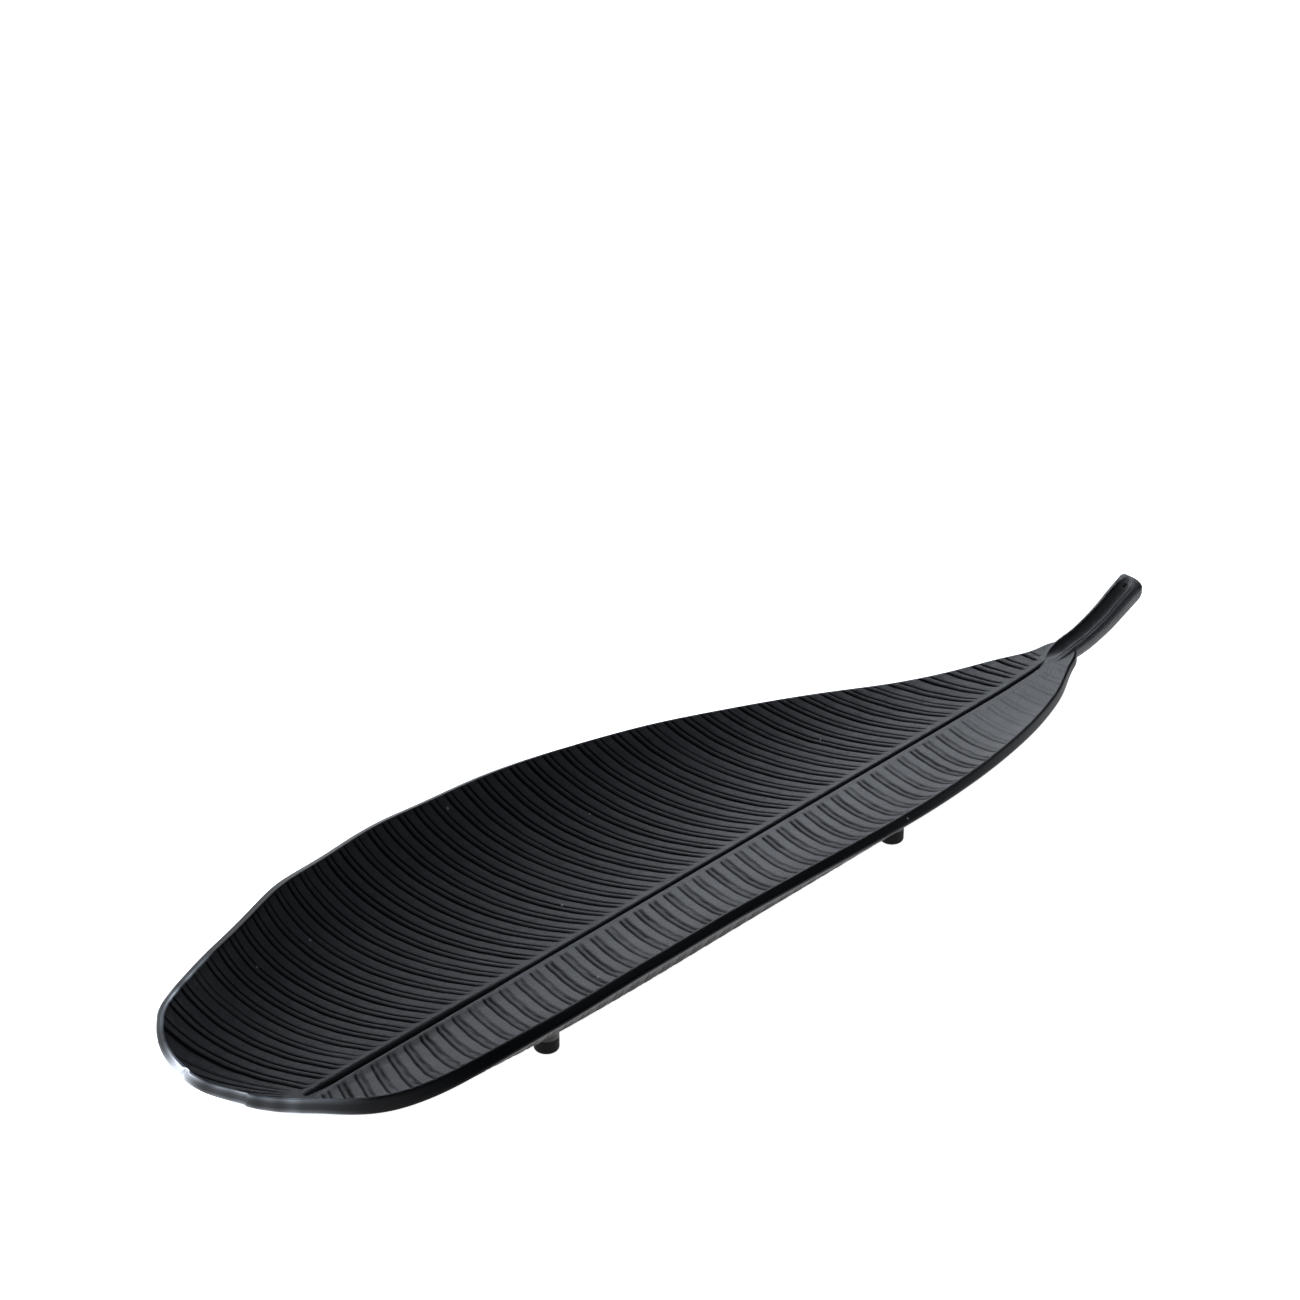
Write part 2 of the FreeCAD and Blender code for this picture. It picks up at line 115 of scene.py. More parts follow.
# Casting thickness at x.
def wallThick(x):
    return leaf["wall"] * eased(stations[:, 0], stations[:, 3], x / leaf["length"])


# Point on the trough at x, y, raised along the normal: the section is a circle of the local
# radius R, so z = lift + R - (R - raised) * cos(a), with sin(a) = y / R.
def onTrough(x, y, raised):
    radius = troughRadius(x)
    sine = y / radius
    reach = radius - raised
    return np.stack([x, reach * sine, floorLift(x) + radius - reach * np.sqrt(1 - sine**2)], -1)


# Closed smooth curve through the points: cubic pieces whose slopes solve m(i-1) + 4 m(i) +
# m(i+1) = 3 (p(i+1) - p(i-1)), so the bend is continuous all round.
def closedSpline(points, u):
    count = len(points)
    matrix = 4 * np.eye(count) + np.roll(np.eye(count), 1, 0) + np.roll(np.eye(count), -1, 0)
    slopes = np.linalg.solve(matrix, 3 * (np.roll(points, -1, 0) - np.roll(points, 1, 0)))
    i = np.floor(u).astype(int) % count
    j = (i + 1) % count
    t = (u - np.floor(u))[:, None]
    return (
        points[i] * (2 * t**3 - 3 * t**2 + 1) + points[j] * (3 * t**2 - 2 * t**3)
        + slopes[i] * (t**3 - 2 * t**2 + t) + slopes[j] * (t**3 - t**2)
    )


# 3 t^2 - 2 t^3 with t running from 0 at low to 1 at high.
def smoothStep(low, high, x):
    t = np.clip((x - low) / (high - low), 0, 1)
    return t * t * (3 - 2 * t)


# Bell curve exp(-((x - centre) / width)^2).
def bump(x, centre, width):
    return np.exp(-(((x - centre) / width) ** 2))


# Blade: pairs of vein grooves, slopes per half, groove widths and depths in millimetres.
blade = {
    "veinPitch": 11.2,
    "firstVein": -283.0,
    "veinCount": 52,
    "tipVeins": (-296.2, -294.8, -293.3, -291.8, -290.2, -288.5),
    "leftSlope": 0.84,
    "leftBend": 0.0008,
    "rightSlope": 0.26,
    "rightBend": 0.0017,
    "halfShift": 5.6,
    "grooveApart": 2.05,
    "wideGroove": (0.66, 1.2),
    "fineGroove": (0.52, 1.0),
    "deepestVein": 0.95,
    "veinSwell": (0.16, 1.3),
    "veinEnds": (8.2, 10.5, 285, 296),
    "leftFade": (3.2, 7.5),
    "rightFade": (3.6, 6.5),
    "rightShallow": (0.85, 160, 225),
    "tipVein": (0.62, 0.2, 5, 14),
    "corner": 1.3,
    "underRib": 0.34,
    "baseFade": 76.0,
    "thinSide": (46, 68),
    "nick": (57.5, 1.1, 1.7),
    "edgeStep": (26.6, 27.5, 27.8, 46, 0.9),
    "rubbedPlace": (60, 5),
    "rubbedAlong": (-326, -280),
    "rubbedAcross": (-34, 8),
    "wornColumns": (0.2, 0.35, 0.4, 0.2, 0.06, 0.06, 0.25, 0.75, 1.0, 0.9, 0.5),
    "seed": 11,
}
leafLength = leaf["length"]
tipX = outline[0, 0] * leafLength
baseX = 306.0


# How far a vein falls back toward the tip by the time it is y from the midrib: slope * y,
# less or plus bend * y^2, fading out over the last stretch before the stem.
def veinDrop(x0, y, side):
    toBase = np.clip((baseX - x0) / blade["baseFade"], 0, 1)
    if side > 0:
        slope = blade["leftSlope"] - 0.04 * smoothStep(-200, -270, x0)
        slope = slope + 0.45 * smoothStep(-284, tipX, x0)
        return toBase * (slope * y - blade["leftBend"] * y**2)
    slope = blade["rightSlope"] + 0.2 * smoothStep(-180, -270, x0)
    return toBase * (slope * y + blade["rightBend"] * y**2)


# Rim of one half, set in by the edge rounding along the surface, with the inward direction
# there and the midrib place of the vein that ends at each rim point.
def halfRim(side, inset):
    baseKnot = np.argmax(outline[:, 0]) + 0.5
    u = np.linspace(0 if side > 0 else len(outline), baseKnot, 9001)
    flat = closedSpline(outline * [leafLength, leaf["halfWidth"]], u)
    radius = troughRadius(flat[:, 0])
    arc = np.stack([flat[:, 0], radius * np.arcsin(flat[:, 1] / radius)], 1)
    along = np.gradient(arc, axis=0)
    along /= np.linalg.norm(along, axis=1)[:, None]
    inward = np.stack([along[:, 1], -along[:, 0]], 1) * side
    arc = arc + inset * inward
    plan = np.stack([arc[:, 0], radius * np.sin(arc[:, 1] / radius)], 1)
    keep = (plan[:, 1] * side > 0) & (plan[:, 0] < baseX)
    plan, inward = plan[keep], inward[keep]
    start = plan[:, 0].copy()
    for _ in range(160):
        start += 0.25 * (plan[:, 0] + veinDrop(start, np.abs(plan[:, 1]), side) - start)
    start = np.maximum.accumulate(start + np.arange(len(start)) * 1e-7)
    return plan, inward, start


# Rim point and unit inward direction where the vein that starts at x0 ends.
def rimAt(half, x0):
    plan, inward, start = half
    x = np.interp(x0, start, plan[:, 0])
    y = np.interp(x0, start, plan[:, 1])
    a = np.interp(x0, start, inward[:, 0])
    b = np.interp(x0, start, inward[:, 1])
    size = np.hypot(a, b)
    return x, y, a / size, b / size


leftHalf = halfRim(1, blade["corner"])
rightHalf = halfRim(-1, blade["corner"])

rimLength = np.concatenate([[0], np.cumsum(np.hypot(*np.diff(leftHalf[0], axis=0).T))])
tipRims = np.unique(np.concatenate([
    np.arange(0, 80, 1.5), np.arange(55, 60.1, 0.4), np.arange(25.5, 29, 0.5),
]))
tipStarts = np.interp(tipRims, rimLength, leftHalf[2])
offsets = np.array([
    -4.0, -2.95, -2.45, -2.05, -1.65, -1.15, -0.45, 0.35, 1.2, 1.65, 2.05, 2.45, 2.9, 3.6, 4.9,
])
centres = blade["firstVein"] + blade["veinPitch"] * np.arange(blade["veinCount"])
veinStarts = (centres[:, None] + offsets).ravel()
tipStarts = tipStarts[tipStarts < veinStarts[0] - 0.3]
endStarts = np.array([296.0, 299.0, 301.5, 304.0, 305.6])
lastVeinStart = 294.5
rowStarts = np.concatenate([
    [leftHalf[2][0]], tipStarts[1:], veinStarts[veinStarts < lastVeinStart], endStarts,
])
print("blade rows:", len(rowStarts))

random = np.random.default_rng(blade["seed"])
veinWobble = random.normal(0, 1, (blade["veinCount"], 2, 4))


# Height and painted shade of the veins: round each vein line a pair of grooves, each a bell curve
# depth * exp(-((d - place) / width)^2), with a low swelling between them, darkened as painted
# shade.
def veinRelief(x0, y, side):
    k = np.round((x0 - blade["firstVein"]) / blade["veinPitch"])
    k = np.clip(k, 0, blade["veinCount"] - 1).astype(int)
    d = x0 - centres[k]
    half = 0 if side > 0 else 1
    own = veinWobble[k, half]
    depth = 1 + 0.18 * own[..., 0] + 0.16 * np.sin(y / 9 + 3 * own[..., 1])
    lean = 0.12 * np.sin(y / 13 + 5 * own[..., 2]) + 0.09 * np.sin(y / 2.3 + 9 * own[..., 3])
    apart = blade["grooveApart"]
    wide, wideDepth = blade["wideGroove"]
    fine, fineDepth = blade["fineGroove"]
    swellHeight, swellWidth = blade["veinSwell"]
    cut = wideDepth * bump(d, -apart + lean, wide) + fineDepth * bump(d, apart + lean, fine)
    rise = swellHeight * bump(d, 0, swellWidth)
    fade = smoothStep(*blade["leftFade"], y)
    if side < 0:
        less, lessFrom, lessTo = blade["rightShallow"]
        depth = depth * (1.0 - less * smoothStep(lessFrom, lessTo, x0))
        fade = smoothStep(*blade["rightFade"], y)
    tipFrom, tipTo, baseFrom, baseTo = blade["veinEnds"]
    ends = smoothStep(tipX + tipFrom, tipX + tipTo, x0) * (1 - smoothStep(baseFrom, baseTo, x0))
    cut, rise = cut * ends, rise * ends
    if side > 0:
        tipDepth, tipWidth, outFrom, outTo = blade["tipVein"]
        for place in blade["tipVeins"]:
            cut = cut + tipDepth * bump(x0, place, tipWidth) * smoothStep(outFrom, outTo, y)
    deepest = blade["deepestVein"]
    sunk = deepest * np.tanh(cut * depth / deepest)
    return (rise - sunk) * fade, 1.4 * cut * depth * fade


# Midrib: lips and valleys give height or depth, place and width on the right and the left.
midrib = {
    "half": 1.35,
    "halfMore": 0.9,
    "deep": 2.0,
    "power": 0.9,
    "widens": (-215, -120),
    "closes": (0.5, 6),
    "lips": ((0.95, -3.6, 1.7), (0.75, 3.6, 1.9)),
    "valleys": ((0.5, -7.6, 1.9), (0.3, 7.8, 2.2)),
}


# Sum of two bell curves, each given as height, place and width.
def bumpPair(y, pair):
    (first, firstPlace, firstWidth), (second, secondPlace, secondWidth) = pair
    return first * bump(y, firstPlace, firstWidth) + second * bump(y, secondPlace, secondWidth)


# Midrib groove, deep * (1 - |y| / half)^power, with a raised lip and a shallow valley on either
# side of it toward the tip.
# The second value is painted shade along the groove and its valleys.
def midribRelief(x, y):
    tip = 1 - smoothStep(*midrib["widens"], x)
    closeFrom, closeTo = midrib["closes"]
    closing = smoothStep(tipX + closeFrom, tipX + closeTo, x)
    half = midrib["half"] + midrib["halfMore"] * tip
    cut = midrib["deep"] * np.clip(1 - np.abs(y) / half, 0, 1) ** midrib["power"] * closing
    lip = tip * bumpPair(y, midrib["lips"]) * closing
    valley = tip * bumpPair(y, midrib["valleys"]) * closing
    return lip - valley - cut, 1.3 * cut / midrib["deep"] + 0.4 * valley


# Stem sections: place along the length, then lip height, half width and depth in millimetres.
stemSections = np.array([
    (0.4700, 0.034, 0.81, 0.45), (0.5050, 0.241, 0.94, 0.79), (0.5333, 0.331, 0.95, 0.90),
    (0.5633, 0.528, 0.98, 1.00), (0.5867, 0.759, 1.02, 1.07), (0.6133, 1.000, 1.07, 1.07),
]) * [leafLength, 29.0, 8.0, 14.5]
stemChannel = {"radius": 5.0, "depth": 3.0, "aside": 1.0}
# Channel floor: place along the length and height in millimetres; it runs out at the end.
channelStations = np.array([
    (0.4700, 3.3), (0.5050, 3.99), (0.5333, 6.6), (0.5633, 12.31), (0.5867, 19.01),
    (0.5967, 21.9), (0.6040, 25.6), (0.6110, 28.75), (0.6200, 30.5),
]) * [leafLength, 1]


# Height of the channel floor at x.
def channelFloor(x):
    return eased(channelStations[:, 0], channelStations[:, 1], x)


# Height of the channel surface: floor + bore - sqrt(bore^2 - (y - aside)^2).
def channelHeight(x, y):
    inside = stemChannel["radius"] ** 2 - (y - stemChannel["aside"]) ** 2
    return channelFloor(x) + stemChannel["radius"] - np.sqrt(np.maximum(inside, 0))


nearColumns = np.array([0, 0.55, 1.1, 1.6, 2.1, 2.8, 3.6, 4.4, 5.3, 6.4, 7.8])
topCount, underCount = 24, 12


# One half of the blade as rows along the veins and columns from the midrib out over the top,
# round the edge and back underneath. Row k starts at the midrib and ends on the rim where its
# vein does: x = start - veinDrop(start, y).
def halfColumns(half, side):
    fadeShift = smoothStep(tipX, tipX + 22, rowStarts) * (1 - smoothStep(268, 300, rowStarts))
    shift = 0 if side > 0 else blade["halfShift"] * fadeShift
    x0 = rowStarts + shift
    rimX, rimY, inX, inY = rimAt(half, x0)
    reach = np.abs(rimY)
    squeeze = np.minimum(1, reach / 24)
    far = np.linspace(0, 1, topCount + 1)[1:]
    far = np.sin(1.0 * far) / np.sin(1.0)
    near = squeeze[:, None] * nearColumns
    outer = near[:, -1:] + (reach[:, None] - near[:, -1:]) * far
    y = np.concatenate([near, outer], 1)
    blend = smoothStep(0, 4.2, y) if side < 0 else 0
    start = rowStarts[:, None] + (np.asarray(shift)[:, None] * blend if side < 0 else 0)
    drop = veinDrop(start, y, side)
    share = y / np.maximum(reach[:, None], 1e-6)
    waveShare = smoothStep(6, 20, y) * (1 - smoothStep(0.8, 1, share))
    wave = 0.18 * np.sin(y / 11 + start / 23) * waveShare
    x = start - drop + wave
    x[:, -1] = rimX
    fineX0 = np.broadcast_to(x0[:, None], y.shape)
    relief, dark = veinRelief(fineX0, y, side)
    ribRelief, ribDark = midribRelief(x, y * side)
    ribRelief = ribRelief * squeeze[:, None]
    atRim = 1 - 0.55 * smoothStep(-3.5, 0, y - reach[:, None])
    swell = 0.1 * np.sin(x / 7.1 + y / 5.3) * np.sin(x / 17 - y / 9.1)
    swell = swell + 0.07 * np.sin(x / 3.9 - y / 4.7)
    raised = relief * atRim + ribRelief + swell * smoothStep(2, 8, y) * atRim
    top = onTrough(x, y * side, raised)
    lower = channelHeight(x, y * side) - 0.35
    inChannel = (np.abs(y * side - stemChannel["aside"]) < stemChannel["radius"]) & (x > 283)
    top[..., 2] = np.where(inChannel, np.minimum(top[..., 2], lower), top[..., 2])
    # Painted shade for the vein grooves and the midrib groove, stored as grooveShade.
    dark = np.maximum(dark, ribDark * squeeze[:, None])

    angle = np.linspace(0, np.pi / 2, 5)
    corner = blade["corner"]
    inset = np.concatenate([
        corner * (1 - np.sin(angle[1:])), [0, 0], corner * (1 - np.sin(angle[::-1])),
    ])
    wall = wallThick(rimX)
    if side > 0:
        thicker = 1 - smoothStep(*blade["thinSide"], reach)
        wall = leaf["wall"] + (wall - leaf["wall"]) * thicker
    wall = wall[:, None]
    deep = np.concatenate([
        0 * wall + corner * (1 - np.cos(angle[1:])),
        wall * [0.36, 0.64],
        wall - corner * (1 - np.cos(angle[::-1])),
    ], 1)
    radius = troughRadius(rimX)
    arcY = radius * np.arcsin(rimY / radius)
    outward = corner - inset
    slit = 0
    worn = np.array(blade["wornColumns"]) * np.ones((len(x0), 1))
    if side > 0:
        along = np.interp(x0, half[2], rimLength)
        patch = 0.62 + 0.38 * np.sin(along / 2.7) * np.sin(along / 7.3 + 1)
        worn = 1.5 * worn * patch[:, None] + 0.8 * bump(along, *blade["rubbedPlace"])[:, None]
        rising, risen, falling, fallen, stepDepth = blade["edgeStep"]
        step = smoothStep(rising, risen, along) * (1 - smoothStep(falling, fallen, along))
        place, width, depth = blade["nick"]
        slit = depth * bump(along, place, width) + stepDepth * step
    outward = outward[None, :] * (1 - (slit * np.ones(len(x0)))[:, None] / corner)
    edgeX = rimX[:, None] - inX[:, None] * outward
    edgeArc = arcY[:, None] - inY[:, None] * outward
    edgeY = radius[:, None] * np.sin(edgeArc / radius[:, None])
    edgeRaised = -deep + raised[:, -1:] * np.array([0.5, 0.25, 0.1] + [0] * (deep.shape[1] - 3))
    edge = onTrough(edgeX, edgeY, edgeRaised)

    back = np.linspace(1, 0, underCount + 1)[1:]
    back = np.sin(1.0 * back) / np.sin(1.0)
    underY = reach[:, None] * back
    underBlend = smoothStep(0, 4.2, underY) if side < 0 else 0
    underStart = rowStarts[:, None] + (np.asarray(shift)[:, None] * underBlend if side < 0 else 0)
    underX = underStart - veinDrop(underStart, underY, side)
    k = np.round((x0 - blade["firstVein"]) / blade["veinPitch"])
    d = (x0 - blade["firstVein"] - k * blade["veinPitch"])[:, None]
    ends = (smoothStep(tipX + 8, tipX + 20, x0) * (1 - smoothStep(260, 290, x0)))[:, None]
    pair = bump(d, -blade["grooveApart"], 0.9) + 0.7 * bump(d, blade["grooveApart"], 0.8)
    ribs = blade["underRib"] * pair * smoothStep(6, 20, underY) * ends
    toRim = smoothStep(0.75, 1, underY / np.maximum(reach[:, None], 1e-6))
    under = onTrough(underX, underY * side, ribs - wallThick(underX) * (1 - toRim) - wall * toRim)

    points = np.concatenate([top, edge, under], 1)
    zero = np.zeros_like
    # Painted shade on the underside vein relief: half its height goes into grooveShade.
    groove = np.concatenate([dark, zero(edgeX), 0.5 * ribs / blade["underRib"]], 1)
    # Painted shade on the edge strip: rimShare turns it near black and dull, in part at the inner
    # corner and the bottom corner.
    rim = np.concatenate([zero(y), np.ones_like(edgeX), zero(underY)], 1)
    rim[:, y.shape[1] - 1] = 0.35
    rim[:, y.shape[1] + edgeX.shape[1] - 1] = 0.3
    # Painted shade on the underside: belowShare darkens its colour and lowers its gloss.
    below = np.concatenate([zero(y), zero(edgeX), np.ones_like(underY)], 1)
    worn = np.concatenate([zero(y), worn, zero(underY)], 1)
    return points, groove, rim, below, worn


# Four-cornered faces of a grid of points, row by row, closed round when wrap is set.
def gridFaces(rows, columns, wrap):
    index = np.arange(rows * columns).reshape(rows, columns)
    nextColumn = np.roll(index, -1, 1) if wrap else index[:, 1:]
    these = index if wrap else index[:, :-1]
    return np.stack([these[:-1], nextColumn[:-1], nextColumn[1:], these[1:]], -1).reshape(-1, 4)


# Mesh from a grid: points that coincide become one, faces with two equal corners lose one,
# and all are turned if the signed volume, sum of a . (b x c + c x d), is negative.
def makePiece(name, points, faces, material, values=None):
    flat = inFrame(points.reshape(-1, 3))
    near = np.round(flat / 2e-6).astype(np.int64)
    keys, first, where = np.unique(near, axis=0, return_index=True, return_inverse=True)
    where = where.ravel()
    corners = where[faces]
    a, b, c, d = (flat[first][corners[:, k]] for k in range(4))
    if np.einsum("ij,ij->", a, np.cross(b, c) + np.cross(c, d)) < 0:
        corners = corners[:, ::-1]
    mesh = bpy.data.meshes.new(name)
    keepCorner = corners != np.roll(corners, 1, 1)
    sizes = keepCorner.sum(1)
    good = sizes > 2
    loops = corners[good][keepCorner[good]]
    sizes = sizes[good]
    mesh.vertices.add(len(keys))
    mesh.vertices.foreach_set("co", flat[first].astype(np.float32).ravel())
    mesh.loops.add(len(loops))
    mesh.loops.foreach_set("vertex_index", loops.astype(np.int32))
    mesh.polygons.add(len(sizes))
    starts = np.concatenate([[0], np.cumsum(sizes)[:-1]])
    mesh.polygons.foreach_set("loop_start", starts.astype(np.int32))
    mesh.polygons.foreach_set("use_smooth", np.ones(len(sizes), bool))
    mesh.update(calc_edges=True)
    mesh.validate()
    for key, data in (values or {}).items():
        attribute = mesh.attributes.new(key, "FLOAT", "POINT")
        attribute.data.foreach_set("value", data.ravel()[first].astype(np.float32))
    mesh.materials.append(material)
    piece = bpy.data.objects.new(name, mesh)
    bpy.context.scene.collection.objects.link(piece)
    return piece


# Empty node group with the named inputs and outputs.
def newGroup(name, inputs, outputs):
    group = bpy.data.node_groups.new(name, "ShaderNodeTree")
    for label, kind, default in inputs:
        socket = group.interface.new_socket(label, in_out="INPUT", socket_type=kind)
        if default is not None:
            socket.default_value = default
    for label, kind in outputs:
        group.interface.new_socket(label, in_out="OUTPUT", socket_type=kind)
    return group, group.nodes.new("NodeGroupInput"), group.nodes.new("NodeGroupOutput")


# Node whose inputs are linked where a socket is given and set to the value otherwise.
def addNode(tree, kind, inputs=None, **settings):
    node = tree.nodes.new(kind)
    for key, value in settings.items():
        setattr(node, key, value)
    for key, value in (inputs or {}).items():
        if isinstance(value, bpy.types.NodeSocket):
            tree.links.new(value, node.inputs[key])
        else:
            node.inputs[key].default_value = value
    return node


# Sand-cast grain: height = 0.7 * coarse + fine noise, a slow mottle, and rare small specks.
def grainGroup():
    group, source, result = newGroup(
        "castGrain",
        [
            ("Vector", "NodeSocketVector", None),
            ("Scale", "NodeSocketFloat", 1500.0),
            ("Speck Share", "NodeSocketFloat", 0.1),
        ],
        [(label, "NodeSocketFloat") for label in ("Height", "Mottle", "Specks")],
    )
    vector, scale = source.outputs["Vector"], source.outputs["Scale"]
    fine = addNode(
        group, "ShaderNodeTexNoise",
        {"Vector": vector, "Scale": scale, "Detail": 4.0, "Roughness": 0.65},
    )
    coarseScale = addNode(group, "ShaderNodeMath", {0: scale, 1: 0.22}, operation="MULTIPLY")
    coarse = addNode(
        group, "ShaderNodeTexNoise",
        {"Vector": vector, "Scale": coarseScale.outputs[0], "Detail": 3.0},
    )
    height = addNode(
        group, "ShaderNodeMath",
        {0: coarse.outputs["Fac"], 1: 0.7, 2: fine.outputs["Fac"]},
        operation="MULTIPLY_ADD",
    )
    mottleScale = addNode(group, "ShaderNodeMath", {0: scale, 1: 0.02}, operation="MULTIPLY")
    mottle = addNode(
        group, "ShaderNodeTexNoise",
        {"Vector": vector, "Scale": mottleScale.outputs[0], "Detail": 5.0, "Roughness": 0.6},
    )
    speckScale = addNode(group, "ShaderNodeMath", {0: scale, 1: 0.17}, operation="MULTIPLY")
    cells = addNode(
        group, "ShaderNodeTexVoronoi",
        {"Vector": vector, "Scale": speckScale.outputs[0], "Randomness": 1.0},
    )
    dot = addNode(
        group, "ShaderNodeMath",
        {0: cells.outputs["Distance"], 1: source.outputs["Speck Share"]},
        operation="LESS_THAN",
    )
    pick = addNode(group, "ShaderNodeSeparateColor", {0: cells.outputs["Color"]})
    rare = addNode(
        group, "ShaderNodeMath", {0: pick.outputs[0], 1: 0.994}, operation="GREATER_THAN",
    )
    specks = addNode(
        group, "ShaderNodeMath", {0: dot.outputs[0], 1: rare.outputs[0]}, operation="MULTIPLY",
    )
    group.links.new(height.outputs[0], result.inputs["Height"])
    group.links.new(mottle.outputs["Fac"], result.inputs["Mottle"])
    group.links.new(specks.outputs[0], result.inputs["Specks"])
    return group


castGrain = grainGroup()


# New material with its shader and the place of each point on the piece's own axes.
def startMaterial(name):
    material = bpy.data.materials.new(name)
    material.use_nodes = True
    tree = material.node_tree
    shader = tree.nodes["Principled BSDF"]
    place = tree.nodes.new("ShaderNodeTexCoord")
    return material, tree, shader, place.outputs["Object"]


# The grain group in a material, at the given scale and speck size.
def useGrain(tree, vector, scale, speckShare):
    node = tree.nodes.new("ShaderNodeGroup")
    node.node_tree = castGrain
    tree.links.new(vector, node.inputs["Vector"])
    node.inputs["Scale"].default_value = scale
    node.inputs["Speck Share"].default_value = speckShare
    return node


# Colour low * (1 - share) + high * share.
def mixColor(tree, share, low, high):
    node = tree.nodes.new("ShaderNodeMix")
    node.data_type = "RGBA"
    for socket, value in ((node.inputs[0], share), (node.inputs[6], low), (node.inputs[7], high)):
        if isinstance(value, bpy.types.NodeSocket):
            tree.links.new(value, socket)
        else:
            socket.default_value = value
    return node.outputs[2]


# Value low * (1 - share) + high * share.
def mixValue(tree, share, low, high):
    node = tree.nodes.new("ShaderNodeMix")
    for socket, value in ((node.inputs[0], share), (node.inputs[2], low), (node.inputs[3], high)):
        if isinstance(value, bpy.types.NodeSocket):
            tree.links.new(value, socket)
        else:
            socket.default_value = value
    return node.outputs[0]


lacquer = {
    "face": (0.0040, 0.0041, 0.0056, 1),
    "faceWorn": (0.0085, 0.0087, 0.0108, 1),
    # under: darker colour for the underside, painted shade.
    "under": (0.0018, 0.0019, 0.0026, 1),
    # groove: near-black painted shade for the vein and midrib grooves, the stem channel and the rim
    # edge.
    "groove": (0.0006, 0.0006, 0.0009, 1),
    "bare": (0.62, 0.66, 0.72, 1),
    "dust": (0.16, 0.16, 0.17, 1),
    "roughLow": 0.36,
    "roughHigh": 0.48,
    "rimRough": 0.42,
    "bareRough": 0.2,
    "grooveRough": 0.9,
    "faceGloss": 0.42,
    "grooveGloss": 0.05,
    "rimGloss": 0.1,
    "underGloss": 0.06,
    "bareGloss": 0.5,
    "grainScale": 1250.0,
    "speckShare": 0.16,
    "grainDepth": 0.0006,
}


# Black lacquer on cast metal: painted shade and duller in the grooves, the stem channel and on the
# rim edge, darker painted shade on the underside, bare metal where it is rubbed.
def lacquerMaterial():
    material, tree, shader, vector = startMaterial("blackLacquerCasting")
    grain = useGrain(tree, vector, lacquer["grainScale"], lacquer["speckShare"])
    groove, rim, bare, below = (
        addNode(tree, "ShaderNodeAttribute", attribute_name=key)
        for key in ("grooveShade", "rimShare", "bareShare", "belowShare")
    )
    face = mixColor(tree, grain.outputs["Mottle"], lacquer["face"], lacquer["faceWorn"])
    # Underside darkened as painted shade.
    underShaded = mixColor(tree, below.outputs["Fac"], face, lacquer["under"])
    # Rim edge darkened to the groove black as painted shade.
    rimShaded = mixColor(tree, rim.outputs["Fac"], underShaded, lacquer["groove"])
    shaded = mixColor(tree, groove.outputs["Fac"], rimShaded, lacquer["groove"])
    specked = mixColor(tree, grain.outputs["Specks"], shaded, lacquer["dust"])
    color = mixColor(tree, bare.outputs["Fac"], specked, lacquer["bare"])
    tree.links.new(color, shader.inputs["Base Color"])
    tree.links.new(bare.outputs["Fac"], shader.inputs["Metallic"])
    rough = mixValue(tree, grain.outputs["Mottle"], lacquer["roughLow"], lacquer["roughHigh"])
    grooved = mixValue(tree, groove.outputs["Fac"], rough, lacquer["grooveRough"])
    rimmed = mixValue(tree, rim.outputs["Fac"], grooved, lacquer["rimRough"])
    rubbed = mixValue(tree, bare.outputs["Fac"], rimmed, lacquer["bareRough"])
    tree.links.new(rubbed, shader.inputs["Roughness"])
    faceGloss = mixValue(tree, groove.outputs["Fac"], lacquer["faceGloss"], lacquer["grooveGloss"])
    rimGloss = mixValue(tree, rim.outputs["Fac"], faceGloss, lacquer["rimGloss"])
    underGloss = mixValue(tree, below.outputs["Fac"], rimGloss, lacquer["underGloss"])
    gloss = mixValue(tree, bare.outputs["Fac"], underGloss, lacquer["bareGloss"])
    tree.links.new(gloss, shader.inputs["Specular IOR Level"])
    calm = mixValue(tree, rim.outputs["Fac"], grain.outputs["Height"], 0.5)
    relief = addNode(
        tree, "ShaderNodeBump",
        {"Height": calm, "Strength": 1.0, "Distance": lacquer["grainDepth"]},
    )
    tree.links.new(relief.outputs["Normal"], shader.inputs["Normal"])
    return material


# Colour and roughness from low to high by the slow mottle, with the grain as a shallow bump.
def plainMaterial(name, low, high, metallic, roughLow, roughHigh, scale, depth):
    material, tree, shader, vector = startMaterial(name)
    grain = useGrain(tree, vector, scale, 0.1)
    color = mixColor(tree, grain.outputs["Mottle"], low, high)
    tree.links.new(color, shader.inputs["Base Color"])
    rough = mixValue(tree, grain.outputs["Mottle"], roughLow, roughHigh)
    tree.links.new(rough, shader.inputs["Roughness"])
    shader.inputs["Metallic"].default_value = metallic
    shader.inputs["Specular IOR Level"].default_value = 0.5 if metallic else 0.15
    relief = addNode(
        tree, "ShaderNodeBump",
        {"Height": grain.outputs["Height"], "Strength": 0.4, "Distance": depth},
    )
    tree.links.new(relief.outputs["Normal"], shader.inputs["Normal"])
    return material


castLacquer = lacquerMaterial()
footRubber = plainMaterial(
    "footRubber", (0.0015, 0.0015, 0.0017, 1), (0.004, 0.004, 0.0045, 1),
    0.0, 0.55, 0.75, 2600.0, 0.00008,
)
zincSteel = plainMaterial(
    "zincSteel", (0.42, 0.43, 0.44, 1), (0.62, 0.63, 0.64, 1),
    1.0, 0.28, 0.45, 3000.0, 0.00003,
)
print("materials ready")

# Blade mesh from its two halves.
leftPoints, leftGroove, leftRim, leftBelow, leftWorn = halfColumns(leftHalf, 1)
rightPoints, rightGroove, rightRim, rightBelow, rightWorn = halfColumns(rightHalf, -1)


# Left half outward and back, then the right half the other way, as one closed ring per row.
def roundLoop(left, right):
    return np.concatenate([left, right[:, -2:0:-1]], 1)


